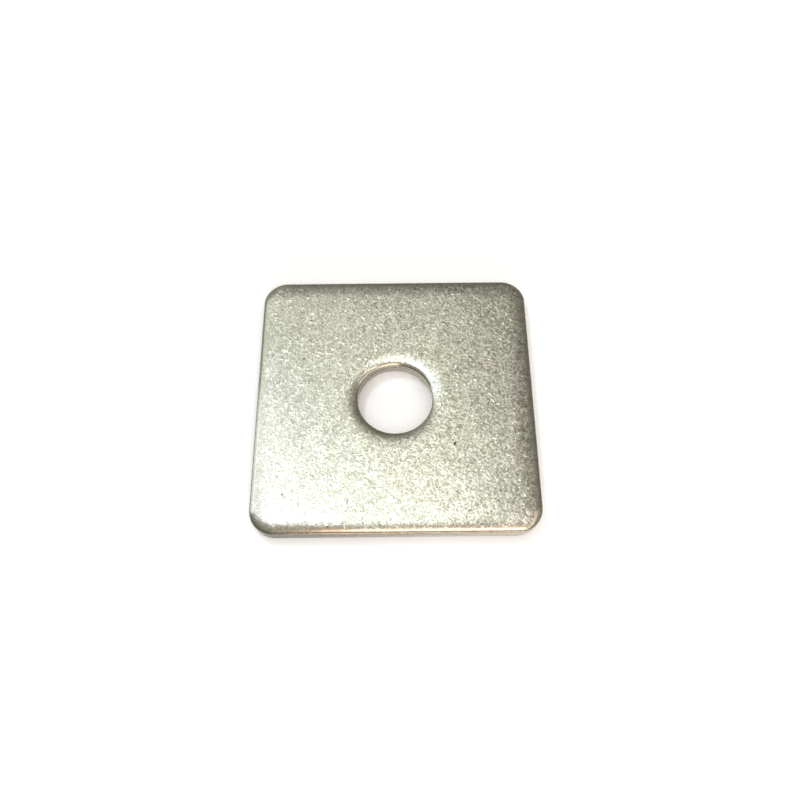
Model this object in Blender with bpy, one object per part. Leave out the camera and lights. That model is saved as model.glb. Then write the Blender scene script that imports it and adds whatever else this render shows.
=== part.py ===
"""Square plate washer: one stamped steel plate with rounded corners and a round bolt hole.

Metres, +Z up. The origin is the centre of the underside, on the axis of the hole. The press
blanks the square and pierces the hole in one stroke, so both sheared edges look alike. From the
top face down, each has a wide soft roll where the metal was drawn into the cut, a straight land,
a fracture that leans back into the metal, and a small break where the burr was tumbled off.
"""

import math

import bmesh
import bpy
from mathutils import Vector

# Driving dimensions, in metres
PLATE_SIDE = 0.050
PLATE_THICKNESS = 0.003
CORNER_RADIUS = 0.0045
HOLE_DIAMETER = 0.0135

# Sheared edge of the square outline
OUTLINE_ROLL_WIDTH = 0.0036
OUTLINE_ROLL_DEPTH = 0.00075

# Sheared edge of the bolt hole
HOLE_ROLL_WIDTH = 0.0032
HOLE_ROLL_DEPTH = 0.00065

# What both sheared edges share
LAND_SHARE = 0.4
FRACTURE_LEAN = 0.0001
EDGE_BREAK = 0.00015

# A corner keeps at least this radius where a roll is as wide as the corner is round
LEAST_CORNER_RADIUS = 0.0002

# Fineness of the rounds, in steps to a quarter turn
CORNER_STEPS = 12
HOLE_STEPS = 18
ROLL_STEPS = 8

# Finish
SHARP_ANGLE = math.radians(40)
STEEL_COLOR = (0.60, 0.58, 0.52, 1.0)
STEEL_METALLIC = 1.0
STEEL_ROUGHNESS = 0.38

COLLECTION_NAME = "square_plate_washer"
PLATE_NAME = "washer_plate"

QUARTER_TURN = math.radians(90)


def clear_scene():
    """Remove every object of the scene that the script starts in."""
    for existing in list(bpy.data.objects):
        bpy.data.objects.remove(existing, do_unlink=True)


def sheared_edge(roll_width, roll_depth):
    """Section of one sheared edge, as (setback, height) pairs from the top face to the underside.

    The setback is how far a point lies inside the metal, measured from the land.
    """
    section = []
    for step in range(ROLL_STEPS + 1):
        turn = QUARTER_TURN * step / ROLL_STEPS
        setback = roll_width * (1 - math.sin(turn))
        height = PLATE_THICKNESS - roll_depth * (1 - math.cos(turn))
        section.append((setback, height))
    wall = PLATE_THICKNESS - roll_depth - EDGE_BREAK
    section.append((0, EDGE_BREAK + wall * (1 - LAND_SHARE)))
    section.append((FRACTURE_LEAN, EDGE_BREAK))
    section.append((FRACTURE_LEAN + EDGE_BREAK, 0))
    return section


def arc(radius, first_quarter, steps):
    """Points on a quarter of a circle, both ends included, anticlockwise."""
    turns = [QUARTER_TURN * (first_quarter + step / steps) for step in range(steps + 1)]
    return [Vector((math.cos(turn), math.sin(turn))) * radius for turn in turns]


def square_outline(setback):
    """Points round the square with its rounded corners, anticlockwise."""
    radius = max(CORNER_RADIUS - setback, LEAST_CORNER_RADIUS)
    reach = PLATE_SIDE / 2 - setback - radius
    points = []
    for quarter, (side_x, side_y) in enumerate(((1, 1), (-1, 1), (-1, -1), (1, -1))):
        centre = Vector((side_x, side_y)) * reach
        points += [centre + point for point in arc(radius, quarter, CORNER_STEPS)]
    return points


def hole_outline(setback):
    """Points round the bolt hole, anticlockwise."""
    radius = HOLE_DIAMETER / 2 + setback
    return [point for quarter in range(4) for point in arc(radius, quarter, HOLE_STEPS)[:-1]]


def add_ring(bm, outline, height):
    """Add one closed ring of vertices along an outline, and return its edges."""
    verts = [bm.verts.new((point.x, point.y, height)) for point in outline]
    return [bm.edges.new(pair) for pair in zip(verts, verts[1:] + verts[:1])]


def add_edge_wall(bm, outline, roll_width, roll_depth):
    """Loft one sheared edge through its rings, and return the top and bottom rings' edges."""
    section = sheared_edge(roll_width, roll_depth)
    rings = [add_ring(bm, outline(setback), height) for setback, height in section]
    for upper, lower in zip(rings, rings[1:]):
        bmesh.ops.bridge_loops(bm, edges=upper + lower)
    return rings[0], rings[-1]


def plate_mesh():
    """Loft the outline's edge and the hole's edge, then fill the two flat faces between them."""
    bm = bmesh.new()
    outer = add_edge_wall(bm, square_outline, OUTLINE_ROLL_WIDTH, OUTLINE_ROLL_DEPTH)
    inner = add_edge_wall(bm, hole_outline, HOLE_ROLL_WIDTH, HOLE_ROLL_DEPTH)
    for rim, hole_rim in zip(outer, inner):
        bmesh.ops.triangle_fill(bm, edges=rim + hole_rim, use_beauty=True)
    bmesh.ops.recalc_face_normals(bm, faces=bm.faces)
    mesh = bpy.data.meshes.new(PLATE_NAME)
    bm.to_mesh(mesh)
    bm.free()
    mesh.shade_smooth()
    mesh.set_sharp_from_angle(angle=SHARP_ANGLE)
    return mesh


def stainless_steel():
    """Tumbled stainless steel, warm grey and satin."""
    material = bpy.data.materials.new("tumbled_stainless_steel")
    material.use_nodes = True
    shader = material.node_tree.nodes["Principled BSDF"]
    shader.inputs["Base Color"].default_value = STEEL_COLOR
    shader.inputs["Metallic"].default_value = STEEL_METALLIC
    shader.inputs["Roughness"].default_value = STEEL_ROUGHNESS
    material.diffuse_color = STEEL_COLOR
    return material


def build_washer():
    """Model the washer in a collection of its own."""
    collection = bpy.data.collections.new(COLLECTION_NAME)
    bpy.context.scene.collection.children.link(collection)
    plate = bpy.data.objects.new(PLATE_NAME, plate_mesh())
    plate.data.materials.append(stainless_steel())
    collection.objects.link(plate)
    return plate


clear_scene()
build_washer()
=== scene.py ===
# %% [markdown]
# A square plate washer, stamped from stainless steel
#
# The washer is one piece of metal: a square plate with rounded corners and a round bolt hole. So
# this lesson makes one object: its sheared edges first, then the flat faces between them, then the
# finish of the steel. The table, the light and the camera come last. The solid that the checks use
# is loaded before anything else, because it gives the sizes.

# %% Load the solid that gives the sizes
import math

import bmesh
import bpy
from mathutils import Matrix, Vector


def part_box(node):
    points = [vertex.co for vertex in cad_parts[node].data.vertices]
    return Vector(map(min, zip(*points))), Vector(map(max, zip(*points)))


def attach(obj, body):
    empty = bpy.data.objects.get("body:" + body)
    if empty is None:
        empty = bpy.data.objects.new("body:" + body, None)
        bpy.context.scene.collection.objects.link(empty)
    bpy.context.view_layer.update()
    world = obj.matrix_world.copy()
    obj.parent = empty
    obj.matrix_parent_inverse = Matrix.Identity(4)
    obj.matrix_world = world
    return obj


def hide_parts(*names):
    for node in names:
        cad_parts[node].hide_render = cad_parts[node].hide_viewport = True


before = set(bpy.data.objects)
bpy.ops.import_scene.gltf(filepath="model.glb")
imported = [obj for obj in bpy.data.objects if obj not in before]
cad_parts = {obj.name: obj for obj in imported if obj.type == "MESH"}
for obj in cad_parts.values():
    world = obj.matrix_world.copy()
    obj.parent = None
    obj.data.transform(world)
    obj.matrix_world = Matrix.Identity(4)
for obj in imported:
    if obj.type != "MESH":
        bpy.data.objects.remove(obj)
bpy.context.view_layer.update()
MM = 0.001
low_corner, high_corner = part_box("washer_plate")
SIDE = high_corner[0] - low_corner[0]
THICKNESS = high_corner[2] - low_corner[2]
print("solids in the frame:", len(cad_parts))
print(f"the plate is {SIDE / MM:.2f} mm square and {THICKNESS / MM:.2f} mm thick")

# %% [markdown]
# The edge that the press leaves
#
# A punch doesn't cut clean. It first draws the skin of the sheet down into a soft roll, then shears
# a bright straight land, and then the metal breaks and leaves a fracture that leans back. Tumbling
# rounds off the last sharp corner. A bevel can't give a roll that is wider than it is deep, so the
# section is worked out here from a quarter of an ellipse, as a short list of points.

# %% Sizes of the sheared edges
CORNER_RADIUS = 4.5 * MM
HOLE_RADIUS = 6.75 * MM
OUTLINE_ROLL = (3.6 * MM, 0.75 * MM)
HOLE_ROLL = (3.2 * MM, 0.65 * MM)
FRACTURE_LEAN = 0.10 * MM
EDGE_BREAK = 0.15 * MM
LAND_SHARE = 0.4
print(f"the outline's roll is {OUTLINE_ROLL[0] / OUTLINE_ROLL[1]:.1f} times as wide as it is deep")

# %% A function for the section of an edge
QUARTER_TURN = math.radians(90)
ROLL_STEPS = 16
BREAK_STEPS = 4


def sheared_edge(roll_width, roll_depth):
    """(setback, height) pairs from the top face to the underside; setback 0 is the land."""
    section = []
    for step in range(ROLL_STEPS + 1):
        turn = QUARTER_TURN * step / ROLL_STEPS
        setback = roll_width * (1 - math.sin(turn))
        section.append((setback, THICKNESS - roll_depth * (1 - math.cos(turn))))
    wall_height = THICKNESS - roll_depth - EDGE_BREAK
    section.append((0, EDGE_BREAK + wall_height * (1 - LAND_SHARE)))
    for step in range(BREAK_STEPS + 1):
        turn = QUARTER_TURN * step / BREAK_STEPS
        setback = FRACTURE_LEAN + EDGE_BREAK * (1 - math.cos(turn))
        section.append((setback, EDGE_BREAK * (1 - math.sin(turn))))
    return section


print("one edge has", len(sheared_edge(*OUTLINE_ROLL)), "points from top to bottom")

# %% [markdown]
# Sweeping a section
#
# Both edges are that section, swept along a path. A curve with a bevel profile could do it, but it
# would have to be made a mesh and joined to the rest. Blender's spin operator works on the mesh
# itself: it turns a row of points about an axis, and with no angle it draws the row out straight.

# %% Stand a section up and sweep it
UP = Vector((0, 0, 1))
CENTRE = Vector((0, 0, 0))


def stand_section(bm, points):
    """Stand a section up as a row of vertices joined by edges, and return all of them."""
    verts = [bm.verts.new(point) for point in points]
    edges = [bm.edges.new(pair) for pair in zip(verts, verts[1:])]
    return verts + edges


def swept(bm, geometry, steps, centre=CENTRE, angle=0.0, step=(0, 0, 0), merge=False, copies=False):
    """Draw or turn the geometry in steps, and return the last row; copies stay apart."""
    made = bmesh.ops.spin(
        bm, geom=geometry, steps=steps, cent=centre, axis=UP, angle=angle, dvec=step,
        space=Matrix.Identity(4), use_merge=merge, use_duplicate=copies, use_normal_flip=False,
    )
    return made["geom_last"]


# %% [markdown]
# The outline's edge
#
# A rounded square is straight runs and quarter turns. So the section is stood up at the middle of
# one side, drawn along half the side, turned about the centre of the corner, and drawn along the
# next half side. Four turned copies of that quarter close the outline, and where they meet, their
# doubled points are merged.

# %% Sweep the section round the square
SIDE_STEPS = 12
CORNER_STEPS = 16
QUARTERS = 4
MERGE_DISTANCE = 0.001 * MM


def add_outline_edge(bm):
    """Make the outline's edge from four like quarters."""
    half = SIDE / 2
    straight = half - CORNER_RADIUS
    section = sheared_edge(*OUTLINE_ROLL)
    row = stand_section(bm, [(half - setback, 0, height) for setback, height in section])
    row = swept(bm, row, SIDE_STEPS, step=(0, straight / SIDE_STEPS, 0))
    row = swept(bm, row, CORNER_STEPS, centre=(straight, straight, 0), angle=QUARTER_TURN)
    swept(bm, row, SIDE_STEPS, step=(-straight / SIDE_STEPS, 0, 0))
    one_quarter = bm.verts[:] + bm.edges[:] + bm.faces[:]
    swept(bm, one_quarter, QUARTERS, angle=math.tau, copies=True)
    bmesh.ops.remove_doubles(bm, verts=bm.verts, dist=MERGE_DISTANCE)


plate = bmesh.new()
add_outline_edge(plate)
print("the outline's edge has", len(plate.faces), "faces")

# %% [markdown]
# The hole's edge
#
# The hole is round, so its section is turned right round the axis in one spin that merges its
# seam. It gets as many steps as the square's ring has points, because the flat faces are bridged
# between the two rings, one point to one point.

# %% Turn the section round the hole
HOLE_STEPS = QUARTERS * (2 * SIDE_STEPS + CORNER_STEPS)
hole_edge = bmesh.new()
hole_section = [(HOLE_RADIUS + setback, 0, height) for setback, height in sheared_edge(*HOLE_ROLL)]
hole_row = stand_section(hole_edge, hole_section)
swept(hole_edge, hole_row, HOLE_STEPS, angle=math.tau, merge=True)
print("the hole's edge has", len(hole_edge.faces), "faces")

# %% Put both edges in one mesh
hole_mesh = bpy.data.meshes.new("hole_edge")
hole_edge.to_mesh(hole_mesh)
hole_edge.free()
plate.from_mesh(hole_mesh)
bpy.data.meshes.remove(hole_mesh)
print("both edges have", len(plate.faces), "faces")

# %% [markdown]
# The flat faces
#
# Top and underside are flat rings between the hole and the outline. Bridging finds its pairs from
# the way one ring faces the other, which two rings in one plane don't show. So the hole's rim is
# moved far down, or far up for the underside, while the bridge is made, and put back after it.

# %% Find a rim and bridge a flat face
FLAT_CUTS = 24
SAME_HEIGHT = 0.01 * MM


def rim_edges(bm, height, inside):
    """The open edges at a height, on the hole's side or on the outline's."""
    limit = (HOLE_RADIUS + SIDE / 2) / 2
    return [
        edge for edge in bm.edges
        if edge.is_boundary
        and all(abs(vert.co.z - height) < SAME_HEIGHT for vert in edge.verts)
        and all((vert.co.to_2d().length < limit) == inside for vert in edge.verts)
    ]


def bridge_flat(bm, height, away):
    """Bridge the flat face at a height; the hole's rim is moved away while that is done."""
    outer = rim_edges(bm, height, inside=False)
    inner = rim_edges(bm, height, inside=True)
    rim = list({vert for edge in inner for vert in edge.verts})
    bmesh.ops.translate(bm, verts=rim, vec=(0, 0, away))
    made = bmesh.ops.bridge_loops(bm, edges=outer + inner)
    bmesh.ops.translate(bm, verts=rim, vec=(0, 0, -away))
    rungs = [edge for edge in made["edges"] if edge not in outer and edge not in inner]
    bmesh.ops.subdivide_edges(bm, edges=rungs, cuts=FLAT_CUTS, use_grid_fill=False)
    print(f"the flat face at {height / MM:.0f} mm has", len(rungs), "rungs")


# %% Bridge the top and the underside
BRIDGE_AWAY = 30 * MM
bridge_flat(plate, THICKNESS, away=-BRIDGE_AWAY)
bridge_flat(plate, 0.0, away=BRIDGE_AWAY)
bmesh.ops.recalc_face_normals(plate, faces=plate.faces)
print("the plate has", len(plate.faces), "faces")
print("and", round(plate.calc_volume() / MM**3), "cubic mm of steel")

# %% [markdown]
# The plate as an object
#
# The mesh already lies where the washer does, so its object stays at the origin, unturned and
# unscaled. The rolls run smoothly into the land and the flat faces, and a smooth shade shows them
# as they are. The washer has one body, the root. The plate rides on it, stands for the solid of
# the same size, and takes the steel made below as its material.

# %% Make the plate an object
plate_mesh = bpy.data.meshes.new("stamped_plate")
plate.to_mesh(plate_mesh)
plate.free()
plate_mesh.shade_smooth()
stamped_plate = bpy.data.objects.new("stamped_plate", plate_mesh)
bpy.context.scene.collection.objects.link(stamped_plate)
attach(stamped_plate, "root")
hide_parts("washer_plate")
print("the plate's object is", " x ".join(f"{size / MM:.2f}" for size in stamped_plate.dimensions), "mm")


# %% [markdown]
# Arithmetic with shader sockets
#
# A finish is mostly arithmetic: add two noises, take one from the other, sharpen the result. Math
# nodes could be added and linked one by one, but then the sum is hard to read. One small class
# wraps a socket instead, so that the sum reads as plain Python, and each sign adds its Math node.

# %% A class for what varies over a surface
class Reading:
    """A number, place or colour that varies over a surface, with Python's arithmetic."""

    def __init__(self, finish, socket):
        self.finish = finish
        self.socket = socket

    def math(self, operation, first, second):
        return self.finish.node("ShaderNodeMath", {"operation": operation}, {0: first, 1: second})

    def __add__(self, other):
        return self.math("ADD", self, other)

    def __radd__(self, other):
        return self.math("ADD", other, self)

    def __sub__(self, other):
        return self.math("SUBTRACT", self, other)

    def __rsub__(self, other):
        return self.math("SUBTRACT", other, self)

    def __mul__(self, other):
        return self.math("MULTIPLY", self, other)

    def __rmul__(self, other):
        return self.math("MULTIPLY", other, self)

    def __abs__(self):
        return self.math("ABSOLUTE", self, 0.0)

    def between(self, low, high):
        """0 below low, 1 above high, and smooth from one to the other."""
        settings = {"interpolation_type": "SMOOTHSTEP"}
        inputs = {"Value": self, "From Min": low, "From Max": high}
        return self.finish.node("ShaderNodeMapRange", settings, inputs)


# %% A class for a finish
class Finish:
    """A material or a world whose nodes are added one line at a time."""

    def __init__(self, holder, shader="Principled BSDF"):
        self.holder = holder
        self.holder.use_nodes = True
        self.tree = self.holder.node_tree
        self.shader = self.tree.nodes[shader]

    def node(self, kind, settings=None, inputs=None, output=0):
        """Add a node, set it, fill its sockets with values or readings, and read one output."""
        node = self.tree.nodes.new(kind)
        for name, value in (settings or {}).items():
            setattr(node, name, value)
        for name, value in (inputs or {}).items():
            self.fill(node.inputs[name], value)
        return Reading(self, node.outputs[output])

    def fill(self, socket, value):
        """Link a reading to a socket, or set the socket to a plain value."""
        if isinstance(value, Reading):
            self.tree.links.new(value.socket, socket)
        else:
            socket.default_value = value

    def give(self, name, value):
        """Give the finish's shader a reading or a plain value."""
        self.fill(self.shader.inputs[name], value)


# %% [markdown]
# Tumbled stainless steel
#
# The sheet left the mill with a fine pebbled skin, and tumbling rubbed its high spots bright. An
# image of real steel would show its seam or smear on the rolls. Noise in three dimensions runs
# over flats, rolls and walls alike, so the finish is worked out from the place on the object, in
# millimetres. The height alone then says what a point is: skin, drawn roll or sheared wall.

# %% Coordinates in millimetres
steel = Finish(bpy.data.materials.new("tumbled_stainless_steel"))
object_place = steel.node("ShaderNodeTexCoord", output="Object")
place = steel.node("ShaderNodeVectorMath", {"operation": "SCALE"}, {0: object_place, "Scale": 1 / MM})
to_right, to_back, height_up = (
    steel.node("ShaderNodeSeparateXYZ", {}, {"Vector": place}, output=axis) for axis in "XYZ"
)
print("one unit of the patterns is", MM, "m")

# %% Where the skin, the drawn roll and the sheared walls lie
TOP = THICKNESS / MM
WALL_FOOT = EDGE_BREAK / MM
WALL_TOP = TOP - OUTLINE_ROLL[1] / MM
LAND_END = WALL_FOOT + (WALL_TOP - WALL_FOOT) * (1 - LAND_SHARE)
SKIN_FADE = (TOP - 0.36, TOP - 0.10)
UNDERSIDE_FADE = (0.0, 0.06)
WALL_FADE = (WALL_TOP - 0.10, WALL_TOP + 0.15)
DRAWN_FADE = (WALL_TOP + 0.10, WALL_TOP + 0.45)
skin_on_top = height_up.between(*SKIN_FADE)
skin_below = 1 - height_up.between(*UNDERSIDE_FADE)
skin = skin_on_top + skin_below
wall = (1 - height_up.between(*WALL_FADE)) * (1 - skin_below)
drawn = (1 - height_up.between(*DRAWN_FADE)) * (1 - skin_below) - wall
print(f"the walls end {WALL_TOP:.2f} mm up, and the land starts {LAND_END:.2f} mm up")

# %% One noise for all the marks
SEED_STEP = 7.3
MIDDLE = 0.5


def noise(seed, per_mm, detail=1.0, roughness=0.5, distortion=0.0, vector=place):
    """Noise with so many features to a millimetre; each seed gives another pattern."""
    inputs = {
        "Vector": vector, "W": seed * SEED_STEP, "Scale": per_mm, "Detail": detail,
        "Roughness": roughness, "Distortion": distortion,
    }
    return steel.node("ShaderNodeTexNoise", {"noise_dimensions": "4D"}, inputs)


# %% [markdown]
# The curling strokes
#
# Up close the grain reads as short curling bright strokes on mid grey, about half a millimetre
# apart, each with a darker border. On the real skin the bright strokes are partly its own grain and
# partly lamps glinting on the pebbles. Relief alone gives waves that all lean one way, so the
# strokes are in the colour, where their brightness is partly painted highlight. The middle level
# of a smooth noise runs in long curling lines, as a contour does on a map. A thin band about it is
# bright, and a wider band under it is dark and gives the border. The sheet was rolled before it was
# stamped, so the pattern is turned and a bit stretched.

# %% Bright lines with dark borders
GRAIN_TURN = math.radians(-42)
GRAIN_STRETCH = (1.3, 1.0, 1.0)
STROKE_WIDTH = 0.27
STROKE_CURL = 0.4
BORDER_WIDTH = 2.5 * STROKE_WIDTH
BORDER_DEPTH = 0.5
along_grain = steel.node(
    "ShaderNodeMapping", {"vector_type": "TEXTURE"},
    {"Vector": place, "Rotation": (0, 0, GRAIN_TURN), "Scale": GRAIN_STRETCH},
)


def strokes(seed, per_mm):
    """Bright lines with dark borders along the middle level of a noise."""
    level = noise(seed, per_mm, detail=0.0, distortion=STROKE_CURL, vector=along_grain)
    away = abs(level * 2 - 1)
    core = 1 - away.between(0.0, STROKE_WIDTH)
    border = 1 - away.between(0.0, BORDER_WIDTH)
    return core * (1 + BORDER_DEPTH) - border * BORDER_DEPTH


# %% [markdown]
# From lines to grain
#
# A slower noise breaks the lines into strokes: where one set of lines stops, another set takes
# over. Small dark dots lie between them, a fine speckle and a slow mottle keep the grey alive.

# %% Strokes, dots, speckle and mottle
HAND_OVER = (0.42, 0.62)
STROKE_GAIN = 0.54
DOT_LEVELS = (0.30, 0.46)
DOT_DEPTH = 0.20
SPECKLE = 0.10
MOTTLE = 0.40
take_over = noise(1, per_mm=0.9).between(*HAND_OVER)
# Partly grain, partly painted highlight: the bright strokes also stand in for lamps glinting on the
# pebbles.
curls_with_painted_highlights = (strokes(2, per_mm=1.8) * take_over + strokes(3, per_mm=2.2) * (1 - take_over)) * STROKE_GAIN
dots = (1 - noise(4, per_mm=2.3).between(*DOT_LEVELS)) * DOT_DEPTH
speckle = (noise(5, per_mm=3.6, roughness=0.7) - MIDDLE) * SPECKLE
slow_mottle = noise(6, per_mm=0.5) - MIDDLE
quick_mottle = noise(7, per_mm=1.0, detail=0.0) - MIDDLE
mottle = slow_mottle * MOTTLE + quick_mottle * MOTTLE
print("the grain so far takes", len(steel.tree.nodes), "nodes")

# %% [markdown]
# The sheared walls
#
# The punch drags fine upright lines down the land. They are a noise that is squeezed sideways and
# drawn out in height. Below them the metal tore, so the fracture is rougher; its colour is made
# paler, so the walls are lighter towards their foot. The border between the two wanders up and down.

# %% The sheared walls
DRAG_SQUEEZE = (4.0, 4.0, 0.3)
BORDER_WANDER = 0.8
BORDER_FADE = 0.05
upright = steel.node("ShaderNodeVectorMath", {"operation": "MULTIPLY"}, {0: place, 1: DRAG_SQUEEZE})
wander = (noise(11, per_mm=0.6, detail=2.0) - MIDDLE) * BORDER_WANDER
above_fracture = (height_up + wander).between(LAND_END - BORDER_FADE, LAND_END + BORDER_FADE)
fracture = wall * (1 - above_fracture)
drag_lines = (noise(12, per_mm=1.0, detail=2.0, vector=upright) - MIDDLE) * (wall - fracture)
torn = (noise(13, per_mm=4.0, detail=3.0, roughness=0.7) - MIDDLE) * fracture

# %% [markdown]
# Marks of use, and painted sparkles
#
# One slanted nick lies near the right side, and a few small pits are scattered over the top. A
# Mapping node of the texture type puts a pattern at a place, turns it and gives it a size, so the
# nick is simply all that is nearer than one unit to its centre. Pits and sparkles are the rare high
# levels of a noise: pits are dark hollows, and the sparkles are painted highlights, a few pebbles
# whose colour is painted brighter as if they caught a lamp, and which also bulge a little.

# %% A nick, pits and painted sparkles
NICK_PLACE = (10.5, -9.0, TOP)
NICK_TURN = math.radians(66)
NICK_SIZE = (0.45, 0.22, 1.0)
NICK_FADE = (0.5, 1.2)
PIT_LEVELS = (0.76, 0.81)
GLINT_LEVELS = (0.64, 0.74)
nick_place = steel.node(
    "ShaderNodeMapping", {"vector_type": "TEXTURE"},
    {"Vector": place, "Location": NICK_PLACE, "Rotation": (0, 0, NICK_TURN), "Scale": NICK_SIZE},
)
nick_reach = steel.node("ShaderNodeVectorMath", {"operation": "LENGTH"}, {0: nick_place}, output="Value")
nick = 1 - nick_reach.between(*NICK_FADE)
pits = noise(15, per_mm=1.3, detail=0.0).between(*PIT_LEVELS) * skin_on_top
pebble_tops_and_painted_glints = noise(9, per_mm=1.5, detail=0.0).between(*GLINT_LEVELS) * skin
print("with walls and marks it takes", len(steel.tree.nodes), "nodes")

# %% [markdown]
# The colour of the steel
#
# The tumbled skin runs from a dull greenish grey to a pale steel, and one number, its brightness,
# picks the tone. The grain stands out most on the flats and least on the rolls, which were
# polished as they were drawn. Its strength is painted to follow the light: weaker to the left and
# front, where the glare falls, and a little stronger to the right and back. The drawn rolls are
# painted darker, as painted shade, and a few sparkles are painted brighter, as painted highlights.
# The walls have two tones of their own, and are painted lighter to the right, as painted light. A
# nick or a pit is nearly black, because little light comes out of it.

# %% Mix two colours
DARK_STEEL = (0.18, 0.177, 0.118, 1)
BRIGHT_STEEL = (0.78, 0.776, 0.70, 1)
DULL_SHEARED = (0.16, 0.147, 0.127, 1)
BRIGHT_SHEARED = (0.62, 0.575, 0.50, 1)
HOLLOW = (0.02, 0.02, 0.015, 1)
FIRST_COLOR, SECOND_COLOR, MIXED_COLOR = 6, 7, 2


def mixed(factor, first, second):
    """The first colour where the factor is 0, the second where it is 1."""
    inputs = {"Factor": factor, FIRST_COLOR: first, SECOND_COLOR: second}
    return steel.node("ShaderNodeMix", {"data_type": "RGBA"}, inputs, output=MIXED_COLOR)


# %% The skin's tone
SKIN_TONE = 0.54
GRAIN_BY_PAINTED_LIGHT = 0.92
GRAIN_BY_PAINTED_LIGHT_TO_RIGHT = 0.012
GRAIN_BY_PAINTED_LIGHT_TO_BACK = 0.003
GRAIN_ON_ROLLS = 0.35
# Painted shade: the drawn rolls are made darker, standing in for the dim room they mirror.
ROLL_PAINTED_SHADE = 0.10
# Painted highlight: a few pebbles are made brighter in the colour, as if they caught a lamp.
PAINTED_GLINT_GAIN = 0.35
# Painted light: the grain's strength is graded over the top to follow where the glare falls.
grain_by_painted_light = GRAIN_BY_PAINTED_LIGHT + to_right * GRAIN_BY_PAINTED_LIGHT_TO_RIGHT + to_back * GRAIN_BY_PAINTED_LIGHT_TO_BACK
grain_share = GRAIN_ON_ROLLS + (1 - GRAIN_ON_ROLLS) * skin - GRAIN_ON_ROLLS * wall
grain = (curls_with_painted_highlights - dots + speckle + mottle) * grain_by_painted_light * grain_share
skin_tone = SKIN_TONE + grain - drawn * ROLL_PAINTED_SHADE + pebble_tops_and_painted_glints * PAINTED_GLINT_GAIN
skin_color = mixed(skin_tone, DARK_STEEL, BRIGHT_STEEL)

# %% The walls' tone, and the marks over both
WALL_TONE = 0.45
# Painted light: the walls' colour is made lighter to the right, standing in for the brighter floor they
# mirror.
WALL_PAINTED_LIGHT_TO_RIGHT = 0.026
# The fracture's colour is made paler, so the walls are lighter towards their foot.
FRACTURE_GAIN = 0.35
NICK_DARKNESS = 0.9
PIT_DARKNESS = 0.5
wall_tone = WALL_TONE + to_right * WALL_PAINTED_LIGHT_TO_RIGHT + drag_lines + torn + fracture * FRACTURE_GAIN
wall_color = mixed(wall_tone, DULL_SHEARED, BRIGHT_SHEARED)
marks = nick * NICK_DARKNESS + pits * PIT_DARKNESS
steel.give("Base Color", mixed(marks, mixed(wall, skin_color, wall_color), HOLLOW))
steel.give("Metallic", 1.0)
print("with its colour the steel takes", len(steel.tree.nodes), "nodes")

# %% [markdown]
# Gloss and relief
#
# Rolls and land are the most polished, the pebbled skin is satin and the fracture is matt. The
# pebbles, the lines and the nick also tilt the surface a little. Their heights are added up in
# millimetres and go to one Bump node with a distance of one millimetre, so they stay true to size.

# %% Gloss and relief
POLISHED = 0.16
SKIN_ROUGHER = 0.09
FRACTURE_ROUGHER = 0.20
PEBBLE_HEIGHT = 0.02
GLINT_HEIGHT = 0.02
SHEET_WAVE = 0.05
NICK_DEPTH = 0.04
DRAG_HEIGHT = 0.01
TORN_HEIGHT = 0.05
pebbles = noise(8, per_mm=1.6, vector=along_grain) * PEBBLE_HEIGHT + pebble_tops_and_painted_glints * GLINT_HEIGHT
skin_height = pebbles * skin + noise(10, per_mm=0.16) * SHEET_WAVE - nick * NICK_DEPTH
wall_height = drag_lines * DRAG_HEIGHT + torn * TORN_HEIGHT
relief_inputs = {"Strength": 1.0, "Distance": MM, "Height": skin_height + wall_height}
steel.give("Roughness", POLISHED + SKIN_ROUGHER * skin + FRACTURE_ROUGHER * fracture)
steel.give("Normal", steel.node("ShaderNodeBump", {}, relief_inputs))
plate_mesh.materials.append(steel.holder)
print("the finished steel takes", len(steel.tree.nodes), "nodes")

# %% [markdown]
# The table
#
# The washer lies on white paper that is wide enough to fill the picture. It is the stage, not part
# of the washer. Paper has no gloss worth showing here, so its specular level is nothing.

# %% The table
TABLE_SIZE = 2.0
table_form = bmesh.new()
bmesh.ops.create_grid(table_form, x_segments=1, y_segments=1, size=TABLE_SIZE / 2)
table_mesh = bpy.data.meshes.new("table")
table_form.to_mesh(table_mesh)
table_form.free()
paper = Finish(bpy.data.materials.new("white_paper"))
paper.give("Base Color", (0.95, 0.94, 0.94, 1))
paper.give("Roughness", 0.6)
paper.give("Specular IOR Level", 0.0)
table_mesh.materials.append(paper.holder)
table = bpy.data.objects.new("table", table_mesh)
bpy.context.scene.collection.objects.link(table)
print("the table is", TABLE_SIZE, "m wide")

# %% [markdown]
# The room
#
# Steel shows what is round it, so the light is made of what it mirrors. The room itself is an even
# warm grey. It is dimmer low behind the washer and to its right, and low in front and to its left,
# and that darkens the rolls which face those ways. A soft light of the room's own would need many
# lamps, so the world's background does it, from the direction that a ray leaves in.

# %% The room
ROOM_LIGHT = 0.43
ROOM_COLOR = (1.0, 0.95, 0.84, 1)
TO_BACK_RIGHT = (0.6, 0.8, 0)
TO_FRONT_LEFT = (-0.7, -0.7, 0)
BACK_RIGHT_DIMMED = 0.4
FRONT_LEFT_DIMMED = 0.5
room = Finish(bpy.data.worlds.new("room"), "Background")
bpy.context.scene.world = room.holder
direction = room.node("ShaderNodeTexCoord", output="Generated")


def toward(side):
    """How far a direction of the room points to a side."""
    operation = {"operation": "DOT_PRODUCT"}
    return room.node("ShaderNodeVectorMath", operation, {0: direction, 1: side}, output="Value")


back_right = toward(TO_BACK_RIGHT).between(0.5, 0.75)
front_left = toward(TO_FRONT_LEFT).between(0.4, 0.65)
dimmed = BACK_RIGHT_DIMMED * back_right + FRONT_LEFT_DIMMED * front_left
room.give("Color", ROOM_COLOR)
room.give("Strength", ROOM_LIGHT * (1 - dimmed))
print("the room's light is", ROOM_LIGHT, "of full white")

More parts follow.
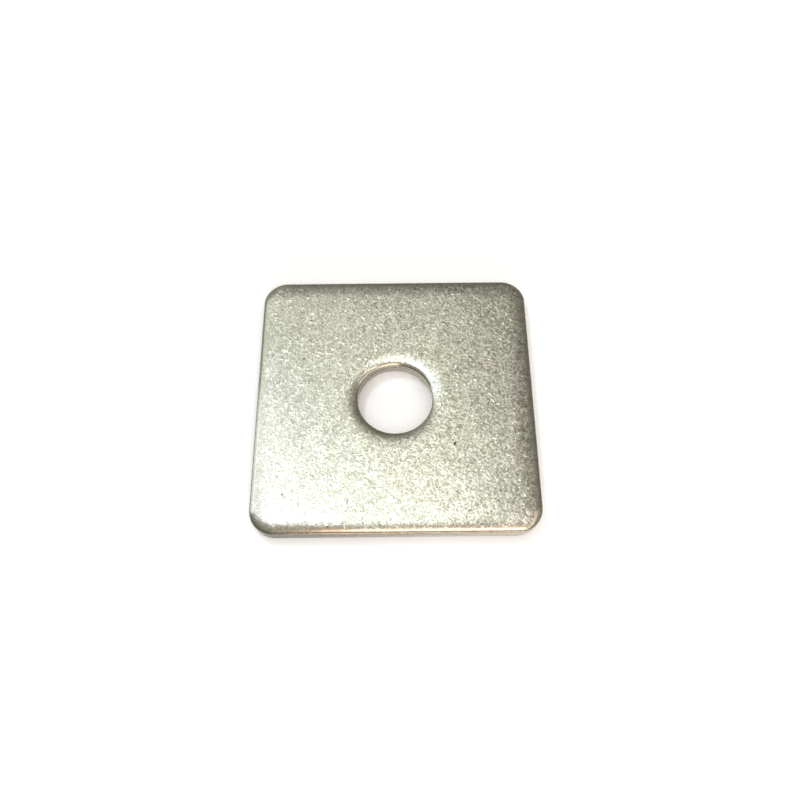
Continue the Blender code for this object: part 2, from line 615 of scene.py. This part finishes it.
# %% [markdown]
# Lamps that face the washer
#
# A lamp's place is given in degrees from overhead, to the right and to the front, because that is
# how a mirror sees it, and its size in degrees too. Its power is worked out so that it looks
# equally bright at any size. The steel and the paper are lit by lamps of their own: a lamp that is
# mirrored in the steel doesn't light the paper, and the other way round, so either can be set
# without spoiling the other.

# %% A function for a lamp
LAMP_DISTANCE = 1200 * MM


def facing_width(degrees):
    """How wide a lamp is that fills so many degrees from the washer."""
    return 2 * LAMP_DISTANCE * math.tan(math.radians(degrees / 2))


def add_lamp(name, right, front, size, radiance, color, mirrored=True):
    """A lamp that faces the washer, so many degrees from overhead to the right and to the front."""
    light = bpy.data.lights.new(name, "AREA")
    light.shape = "RECTANGLE"
    light.size, light.size_y = (facing_width(side) for side in size)
    light.energy = radiance * math.pi * light.size * light.size_y
    light.color = color
    lamp = bpy.data.objects.new(name, light)
    away = Vector((math.tan(math.radians(right)), -math.tan(math.radians(front)), 1)).normalized()
    across = Vector((0, 1, 0)).cross(away).normalized()
    lamp.location = away * LAMP_DISTANCE
    lamp.rotation_euler = Matrix((across, away.cross(across), away)).transposed().to_euler()
    lamp.visible_camera = False
    lamp.visible_glossy = mirrored
    lamp.visible_diffuse = not mirrored
    bpy.context.scene.collection.objects.link(lamp)


# %% [markdown]
# What the steel mirrors
#
# The flats mirror what stands behind the washer and overhead. Wide softboxes at the back and the
# left give the even satin, and the key softbox with the left spot gives the glare at the near left
# corner. The rolls bend the view round, so the front roll shows the warm strip as one thin gold
# line, the left roll shows the window, and the right roll the right strip.

# %% What the steel mirrors
add_lamp("back_softbox", right=-25.8, front=-26.2, size=(43, 27), radiance=0.74, color=(0.94, 1, 0.92))
add_lamp("back_strip", right=3.4, front=-20.5, size=(6, 26), radiance=1.10, color=(1, 1, 0.87))
add_lamp("left_softbox", right=-23, front=-15, size=(26, 22), radiance=1.05, color=(0.76, 0.82, 1))
add_lamp("left_spot", right=-12, front=-9, size=(8, 12), radiance=4.40, color=(0.81, 0.83, 1))
add_lamp("key_softbox", right=-1.2, front=-7.7, size=(13, 20.6), radiance=2.05, color=(0.94, 1, 0.95))
add_lamp("right_spot", right=16, front=-2.7, size=(5, 19), radiance=2.57, color=(1, 0.88, 0.88))
add_lamp("warm_strip", right=9, front=23, size=(27, 8), radiance=5.80, color=(1, 0.60, 0.44))
add_lamp("front_softbox", right=9, front=23, size=(27, 26), radiance=0.60, color=(1, 0.92, 0.80))
add_lamp("low_front_strip", right=9, front=59, size=(27, 12), radiance=3.50, color=(1, 0.71, 0.54))
add_lamp("right_strip", right=32.9, front=29, size=(12.5, 70), radiance=1.12, color=(1, 0.83, 0.69))
add_lamp("far_window", right=-55.2, front=-28.7, size=(29.5, 15), radiance=1.07, color=(0.84, 0.87, 1))

# %% [markdown]
# What lights the paper
#
# A wide softbox overhead makes the paper white. A low lamp in front clears the shadow before the
# front edge, and it is too low to reach down into the hole. A small strong lamp behind and to the
# left gives the hole its soft crescent of shadow.

# %% What lights the paper
PAPER_ONLY = {"mirrored": False}
add_lamp("table_softbox", 0, 0, (110, 110), radiance=0.84, color=(1, 0.97, 0.95), **PAPER_ONLY)
add_lamp("front_fill", 0, 78, (24, 10), radiance=48.0, color=(0.95, 0.98, 1), **PAPER_ONLY)
add_lamp("shadow_lamp", -26, -30, (5, 5), radiance=84.0, color=(0.75, 0.91, 1), **PAPER_ONLY)

# %% [markdown]
# The camera
#
# The camera looks down on the washer from the front at about 65 degrees, from near by, so the far
# side looks a seventh shorter than the near one. Distance, tilt and lens come from matching the
# outline and the hole of the real washer. Colours are shown as they are, with the Standard view.

# %% The camera
LENS_PIXELS = 785.8
IMAGE_PIXELS = 800
SENSOR_WIDTH = 36.0
NEAREST = 10 * MM
DISTANCE = 2.896 * SIDE
LOOK_DOWN = math.radians(64.78)
ROLL = math.radians(-0.594)
TARGET = Vector((0.0177, 0.0182, 0)) * SIDE

camera_data = bpy.data.cameras.new("camera")
camera_data.sensor_width = SENSOR_WIDTH
camera_data.lens = LENS_PIXELS / IMAGE_PIXELS * SENSOR_WIDTH
camera_data.clip_start = NEAREST
camera = bpy.data.objects.new("camera", camera_data)
bpy.context.scene.collection.objects.link(camera)
to_camera = Vector((0, -math.cos(LOOK_DOWN), math.sin(LOOK_DOWN)))
facing = (-to_camera).to_track_quat("-Z", "Y")
tilt = Matrix.Rotation(ROLL, 3, "Z").to_quaternion()
camera.location = TARGET + to_camera * DISTANCE
camera.rotation_euler = (facing @ tilt).to_euler()
bpy.context.scene.camera = camera
bpy.context.scene.view_settings.view_transform = "Standard"
print(f"the camera is {DISTANCE / MM:.0f} mm away, with a lens of {camera_data.lens:.1f} mm")
